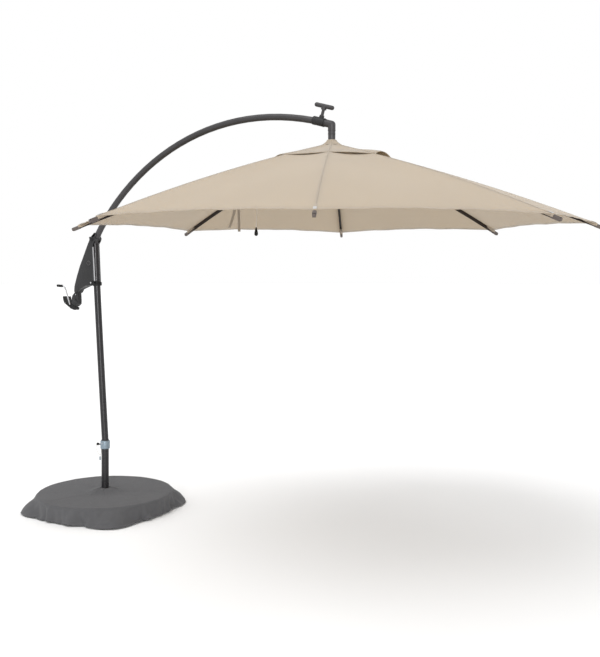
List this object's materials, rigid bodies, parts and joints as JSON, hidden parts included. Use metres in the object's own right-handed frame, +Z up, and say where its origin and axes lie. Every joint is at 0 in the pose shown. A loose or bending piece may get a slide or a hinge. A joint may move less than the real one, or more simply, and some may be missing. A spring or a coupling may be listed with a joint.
{
  "type": "offset patio umbrella",
  "caption": "Cantilever patio umbrella: curved arm on a leaning mast, cranked octagonal vented canopy, cross base with ballast under a fabric cover.",
  "frame": {"origin": "on the ground under the middle of the post", "axes": "+Z up, +X from the post towards the canopy's hub, +Y to the left of that"},
  "size_m": [3.5106, 2.8272, 2.5357],
  "materials": {
    "base_steel": "satin black steel",
    "ballast": "dark cast ballast",
    "mast_paint": "dark grey powder coat",
    "arm_paint": "charcoal powder coat",
    "collar": "blue-grey enamel",
    "cover_cloth": "grey woven polyester",
    "black_plastic": "black moulded plastic",
    "housing": "dark grey moulded plastic",
    "steel": "zinc-plated steel",
    "rib_paint": "dark brown painted aluminium",
    "canopy": "beige woven polyester",
    "cord": "off-white braided cord",
    "webbing": "beige webbing"
  },
  "bodies": {
    "base": {"centre_plate": "base_steel", "base_beam_a": "base_steel", "base_beam_b": "base_steel", "weight_1": "ballast", "weight_2": "ballast", "weight_3": "ballast", "weight_4": "ballast", "lower_post": "mast_paint", "base_skirt": "black_plastic", "base_cover": "cover_cloth", "lock_collar": "collar", "pin_lanyard": "cord"},
    "lock_pin": {"lock_pin": "black_plastic"},
    "mast": {"mast": "mast_paint", "mast_hinge": "arm_paint", "mast_band": "black_plastic"},
    "arm": {"lever_shell_left": "housing", "lever_shell_right": "housing", "latch_screw": "steel", "hinge_pin": "steel", "arm_tube": "arm_paint", "gearbox": "housing", "arm_sleeve": "housing"},
    "latch": {"latch_hook": "black_plastic"},
    "crank": {"winch_drum": "steel", "crank_arm": "black_plastic", "crank_rod": "steel"},
    "grip": {"crank_grip": "black_plastic"},
    "knob": {"tilt_knob": "arm_paint"},
    "tilt_head": {"tilt_elbow": "arm_paint", "top_hub": "black_plastic"},
    "runner": {"runner": "black_plastic", "hoist_rope": "cord"},
    "rib_1": {"rib_1": "rib_paint"},
    "strut_1": {"strut_1": "rib_paint"},
    "rib_2": {"rib_2": "rib_paint"},
    "strut_2": {"strut_2": "rib_paint"},
    "rib_3": {"rib_3": "rib_paint"},
    "strut_3": {"strut_3": "rib_paint"},
    "rib_4": {"rib_4": "rib_paint"},
    "strut_4": {"strut_4": "rib_paint"},
    "rib_5": {"rib_5": "rib_paint"},
    "strut_5": {"strut_5": "rib_paint"},
    "rib_6": {"rib_6": "rib_paint"},
    "strut_6": {"strut_6": "rib_paint"},
    "rib_7": {"rib_7": "rib_paint"},
    "strut_7": {"strut_7": "rib_paint"},
    "rib_8": {"rib_8": "rib_paint"},
    "strut_8": {"strut_8": "rib_paint"},
    "gore_1": {"gore_1": "canopy"},
    "gore_2": {"gore_2": "canopy"},
    "gore_3": {"gore_3": "canopy"},
    "gore_4": {"gore_4": "canopy"},
    "gore_5": {"gore_5": "canopy"},
    "gore_6": {"gore_6": "canopy"},
    "gore_7": {"gore_7": "canopy"},
    "gore_8": {"gore_8": "canopy"},
    "cord": {"pull_cord": "cord", "cord_pendant": "black_plastic"},
    "strap": {"tie_strap": "webbing"}
  },
  "joints": [
    {"name": "mast_swivel", "type": "hinge", "parent": "base", "child": "mast", "pos_m": [0, 0, 0.44], "axis": [0, 0, 1], "range_deg": [-180, 180]},
    {"name": "pin_pull", "type": "slide", "parent": "base", "child": "lock_pin", "axis": [-1, 0, 0], "range_m": [0, 0.03]},
    {"name": "arm_fold", "type": "hinge", "parent": "mast", "child": "arm", "pos_m": [-0.082, 0, 1.76], "axis": [0, 1, 0], "range_deg": [0, 24]},
    {"name": "latch_swing", "type": "hinge", "parent": "arm", "child": "latch", "pos_m": [-0.084, -0.04, 1.474], "axis": [0, -1, 0], "range_deg": [0, 96.1]},
    {"name": "canopy_tilt", "type": "hinge", "parent": "arm", "child": "tilt_head", "pos_m": [1.6, 0, 2.412], "axis": [0.9618, 0, -0.2738], "range_deg": [-25, 25]},
    {"name": "knob_turn", "type": "hinge", "parent": "arm", "child": "knob", "pos_m": [1.57115, 0, 2.42021], "axis": [0.2738, 0, 0.9618], "range_deg": [0, 270]},
    {"name": "runner_slide", "type": "slide", "parent": "tilt_head", "child": "runner", "axis": [0, 0, -1], "range_m": [0, 0.889], "deforming": ["hoist_rope"]},
    {"name": "rib_1_fold", "type": "hinge", "parent": "tilt_head", "child": "rib_1", "pos_m": [1.68457, 0.01722, 2.27], "axis": [-0.3827, 0.9239, 0], "range_deg": [0, 64.48]},
    {"name": "strut_1_fold", "type": "hinge", "parent": "rib_1", "child": "strut_1", "pos_m": [2.23729, 0.24616, 2.10293], "axis": [0.3827, -0.9239, 0], "range_deg": [0, 128.95]},
    {"name": "rib_2_fold", "type": "hinge", "parent": "tilt_head", "child": "rib_2", "pos_m": [1.66022, 0.04157, 2.27], "axis": [-0.9239, 0.3827, 0], "range_deg": [0, 64.48]},
    {"name": "strut_2_fold", "type": "hinge", "parent": "rib_2", "child": "strut_2", "pos_m": [1.88916, 0.59429, 2.10293], "axis": [0.9239, -0.3827, 0], "range_deg": [0, 128.95]},
    {"name": "rib_3_fold", "type": "hinge", "parent": "tilt_head", "child": "rib_3", "pos_m": [1.62578, 0.04157, 2.27], "axis": [-0.9239, -0.3827, 0], "range_deg": [0, 64.48]},
    {"name": "strut_3_fold", "type": "hinge", "parent": "rib_3", "child": "strut_3", "pos_m": [1.39684, 0.59429, 2.10293], "axis": [0.9239, 0.3827, 0], "range_deg": [0, 128.95]},
    {"name": "rib_4_fold", "type": "hinge", "parent": "tilt_head", "child": "rib_4", "pos_m": [1.60143, 0.01722, 2.27], "axis": [-0.3827, -0.9239, 0], "range_deg": [0, 64.48]},
    {"name": "strut_4_fold", "type": "hinge", "parent": "rib_4", "child": "strut_4", "pos_m": [1.04871, 0.24616, 2.10293], "axis": [0.3827, 0.9239, 0], "range_deg": [0, 128.95]},
    {"name": "rib_5_fold", "type": "hinge", "parent": "tilt_head", "child": "rib_5", "pos_m": [1.60143, -0.01722, 2.27], "axis": [0.3827, -0.9239, 0], "range_deg": [0, 64.48]},
    {"name": "strut_5_fold", "type": "hinge", "parent": "rib_5", "child": "strut_5", "pos_m": [1.04871, -0.24616, 2.10293], "axis": [-0.3827, 0.9239, 0], "range_deg": [0, 128.95]},
    {"name": "rib_6_fold", "type": "hinge", "parent": "tilt_head", "child": "rib_6", "pos_m": [1.62578, -0.04157, 2.27], "axis": [0.9239, -0.3827, 0], "range_deg": [0, 64.48]},
    {"name": "strut_6_fold", "type": "hinge", "parent": "rib_6", "child": "strut_6", "pos_m": [1.39684, -0.59429, 2.10293], "axis": [-0.9239, 0.3827, 0], "range_deg": [0, 128.95]},
    {"name": "rib_7_fold", "type": "hinge", "parent": "tilt_head", "child": "rib_7", "pos_m": [1.66022, -0.04157, 2.27], "axis": [0.9239, 0.3827, 0], "range_deg": [0, 64.48]},
    {"name": "strut_7_fold", "type": "hinge", "parent": "rib_7", "child": "strut_7", "pos_m": [1.88916, -0.59429, 2.10293], "axis": [-0.9239, -0.3827, 0], "range_deg": [0, 128.95]},
    {"name": "rib_8_fold", "type": "hinge", "parent": "tilt_head", "child": "rib_8", "pos_m": [1.68457, -0.01722, 2.27], "axis": [0.3827, 0.9239, 0], "range_deg": [0, 64.48]},
    {"name": "strut_8_fold", "type": "hinge", "parent": "rib_8", "child": "strut_8", "pos_m": [2.23729, -0.24616, 2.10293], "axis": [-0.3827, -0.9239, 0], "range_deg": [0, 128.95]},
    {"name": "gore_1_fold", "type": "hinge", "parent": "tilt_head", "child": "gore_1", "pos_m": [1.68457, 0, 2.27], "axis": [0, 1, 0], "range_deg": [0, 63.7], "deforming": ["gore_1"]},
    {"name": "gore_2_fold", "type": "hinge", "parent": "tilt_head", "child": "gore_2", "pos_m": [1.6724, 0.0294, 2.27], "axis": [-0.7071, 0.7071, 0], "range_deg": [0, 63.7], "deforming": ["gore_2"]},
    {"name": "gore_3_fold", "type": "hinge", "parent": "tilt_head", "child": "gore_3", "pos_m": [1.643, 0.04157, 2.27], "axis": [-1, 0, 0], "range_deg": [0, 63.7], "deforming": ["gore_3"]},
    {"name": "gore_4_fold", "type": "hinge", "parent": "tilt_head", "child": "gore_4", "pos_m": [1.6136, 0.0294, 2.27], "axis": [-0.7071, -0.7071, 0], "range_deg": [0, 63.7], "deforming": ["gore_4"]},
    {"name": "gore_5_fold", "type": "hinge", "parent": "tilt_head", "child": "gore_5", "pos_m": [1.60143, 0, 2.27], "axis": [0, -1, 0], "range_deg": [0, 63.7], "deforming": ["gore_5"]},
    {"name": "gore_6_fold", "type": "hinge", "parent": "tilt_head", "child": "gore_6", "pos_m": [1.6136, -0.0294, 2.27], "axis": [0.7071, -0.7071, 0], "range_deg": [0, 63.7], "deforming": ["gore_6"]},
    {"name": "gore_7_fold", "type": "hinge", "parent": "tilt_head", "child": "gore_7", "pos_m": [1.643, -0.04157, 2.27], "axis": [1, 0, 0], "range_deg": [0, 63.7], "deforming": ["gore_7"]},
    {"name": "gore_8_fold", "type": "hinge", "parent": "tilt_head", "child": "gore_8", "pos_m": [1.6724, -0.0294, 2.27], "axis": [0.7071, 0.7071, 0], "range_deg": [0, 63.7], "deforming": ["gore_8"]},
    {"name": "crank_turn", "type": "hinge", "parent": "arm", "child": "crank", "pos_m": [-0.244, 0, 1.34], "axis": [-0.7071, 0, -0.7071], "range_deg": [0, 3240.5]},
    {"name": "grip_spin", "type": "hinge", "parent": "crank", "child": "grip", "pos_m": [-0.37, -0.0174, 1.4496], "axis": [-0.9985, 0, 0.0545], "continuous": true},
    {"name": "cord_swing", "type": "hinge", "parent": "rib_4", "child": "cord", "pos_m": [0.98612, 0.27209, 2.0733], "axis": [0.3827, 0.9239, 0], "range_deg": [0, 64.48]},
    {"name": "strap_swing", "type": "hinge", "parent": "rib_4", "child": "strap", "pos_m": [0.7995, 0.34939, 2.0087], "axis": [0.3827, 0.9239, 0], "range_deg": [0, 64.48]}
  ],
  "couplings": [
    {"joint": "latch_swing", "follows": "arm_fold", "ratio": 4},
    {"joint": "rib_1_fold", "follows": "runner_slide", "rad_per_m": 1.2639},
    {"joint": "strut_1_fold", "follows": "runner_slide", "rad_per_m": 2.5278},
    {"joint": "rib_2_fold", "follows": "runner_slide", "rad_per_m": 1.2639},
    {"joint": "strut_2_fold", "follows": "runner_slide", "rad_per_m": 2.5278},
    {"joint": "rib_3_fold", "follows": "runner_slide", "rad_per_m": 1.2639},
    {"joint": "strut_3_fold", "follows": "runner_slide", "rad_per_m": 2.5278},
    {"joint": "rib_4_fold", "follows": "runner_slide", "rad_per_m": 1.2639},
    {"joint": "strut_4_fold", "follows": "runner_slide", "rad_per_m": 2.5278},
    {"joint": "rib_5_fold", "follows": "runner_slide", "rad_per_m": 1.2639},
    {"joint": "strut_5_fold", "follows": "runner_slide", "rad_per_m": 2.5278},
    {"joint": "rib_6_fold", "follows": "runner_slide", "rad_per_m": 1.2639},
    {"joint": "strut_6_fold", "follows": "runner_slide", "rad_per_m": 2.5278},
    {"joint": "rib_7_fold", "follows": "runner_slide", "rad_per_m": 1.2639},
    {"joint": "strut_7_fold", "follows": "runner_slide", "rad_per_m": 2.5278},
    {"joint": "rib_8_fold", "follows": "runner_slide", "rad_per_m": 1.2639},
    {"joint": "strut_8_fold", "follows": "runner_slide", "rad_per_m": 2.5278},
    {"joint": "gore_1_fold", "follows": "runner_slide", "rad_per_m": 1.2487},
    {"joint": "gore_2_fold", "follows": "runner_slide", "rad_per_m": 1.2487},
    {"joint": "gore_3_fold", "follows": "runner_slide", "rad_per_m": 1.2487},
    {"joint": "gore_4_fold", "follows": "runner_slide", "rad_per_m": 1.2487},
    {"joint": "gore_5_fold", "follows": "runner_slide", "rad_per_m": 1.2487},
    {"joint": "gore_6_fold", "follows": "runner_slide", "rad_per_m": 1.2487},
    {"joint": "gore_7_fold", "follows": "runner_slide", "rad_per_m": 1.2487},
    {"joint": "gore_8_fold", "follows": "runner_slide", "rad_per_m": 1.2487},
    {"joint": "crank_turn", "follows": "runner_slide", "rad_per_m": 63.609},
    {"joint": "cord_swing", "follows": "runner_slide", "rad_per_m": 1.2639},
    {"joint": "strap_swing", "follows": "runner_slide", "rad_per_m": 1.2639}
  ]
}
